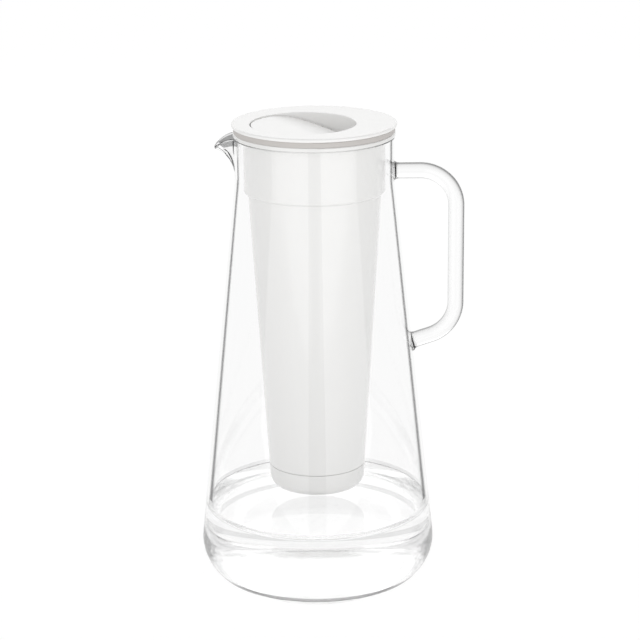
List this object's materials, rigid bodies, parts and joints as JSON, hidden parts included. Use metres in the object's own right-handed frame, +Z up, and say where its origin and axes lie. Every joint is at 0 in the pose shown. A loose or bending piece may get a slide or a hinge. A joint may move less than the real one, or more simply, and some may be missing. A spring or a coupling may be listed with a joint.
{
  "type": "water filter pitcher",
  "caption": "Glass jug with a welded rod handle and a pouring beak, holding a lift-out white hopper with microfilter and carbon cartridge under a lid with a tilting filling flap.",
  "frame": {"origin": "middle of the jug's flat base, on the table, on the jug's own axis", "axes": "+Z up along the jug's axis, +X towards the handle, -X towards the spout"},
  "size_m": [0.148, 0.1316, 0.264],
  "materials": {
    "clear_glass": "clear borosilicate, fire-polished",
    "lid_white": "satin white moulding",
    "hopper_white": "milky, slightly translucent moulding",
    "grey_silicone": "matt warm grey silicone",
    "filter_plastic": "fine matt moulding",
    "fibre": "off-white hollow fibre",
    "potting_resin": "cast resin",
    "seal_black": "black rubber",
    "felt": "white needled felt",
    "carbon": "granular activated carbon",
    "resin_beads": "amber ion-exchange beads"
  },
  "bodies": {
    "jug": {"glass_vessel": "clear_glass", "glass_handle": "clear_glass"},
    "hopper": {"hopper": "hopper_white"},
    "lid": {"lid_cover": "lid_white", "lid_gasket": "grey_silicone"},
    "flap": {"fill_flap": "lid_white"},
    "microfilter": {"membrane_cap": "filter_plastic", "membrane_cage": "filter_plastic", "membrane_base": "filter_plastic", "membrane_potting": "potting_resin", "hollow_fibres": "fibre", "membrane_o_ring": "seal_black"},
    "carbon_filter": {"carbon_shell": "filter_plastic", "outlet_cap": "hopper_white", "inlet_lid": "filter_plastic", "inlet_seal": "grey_silicone", "upper_felt": "felt", "carbon_bed": "carbon", "middle_felt": "felt", "resin_bed": "resin_beads", "lower_felt": "felt"}
  },
  "joints": [
    {"name": "hopper_lift", "type": "slide", "parent": "jug", "child": "hopper", "axis": [0, 0, 1], "range_m": [0, 0.21]},
    {"name": "lid_lift", "type": "slide", "parent": "hopper", "child": "lid", "axis": [0, 0, 1], "range_m": [0, 0.04]},
    {"name": "flap_tilt", "type": "hinge", "parent": "lid", "child": "flap", "pos_m": [-0.00428, -0.00218, 0.25924], "axis": [-0.454, 0.891, 0], "range_deg": [0, 65]},
    {"name": "microfilter_twist", "type": "hinge", "parent": "hopper", "child": "microfilter", "pos_m": [0, 0, 0.1308], "axis": [0, 0, 1], "range_deg": [0, 45]},
    {"name": "cartridge_twist", "type": "hinge", "parent": "hopper", "child": "carbon_filter", "pos_m": [0, 0, 0.069], "axis": [0, 0, -1], "range_deg": [0, 45]}
  ]
}
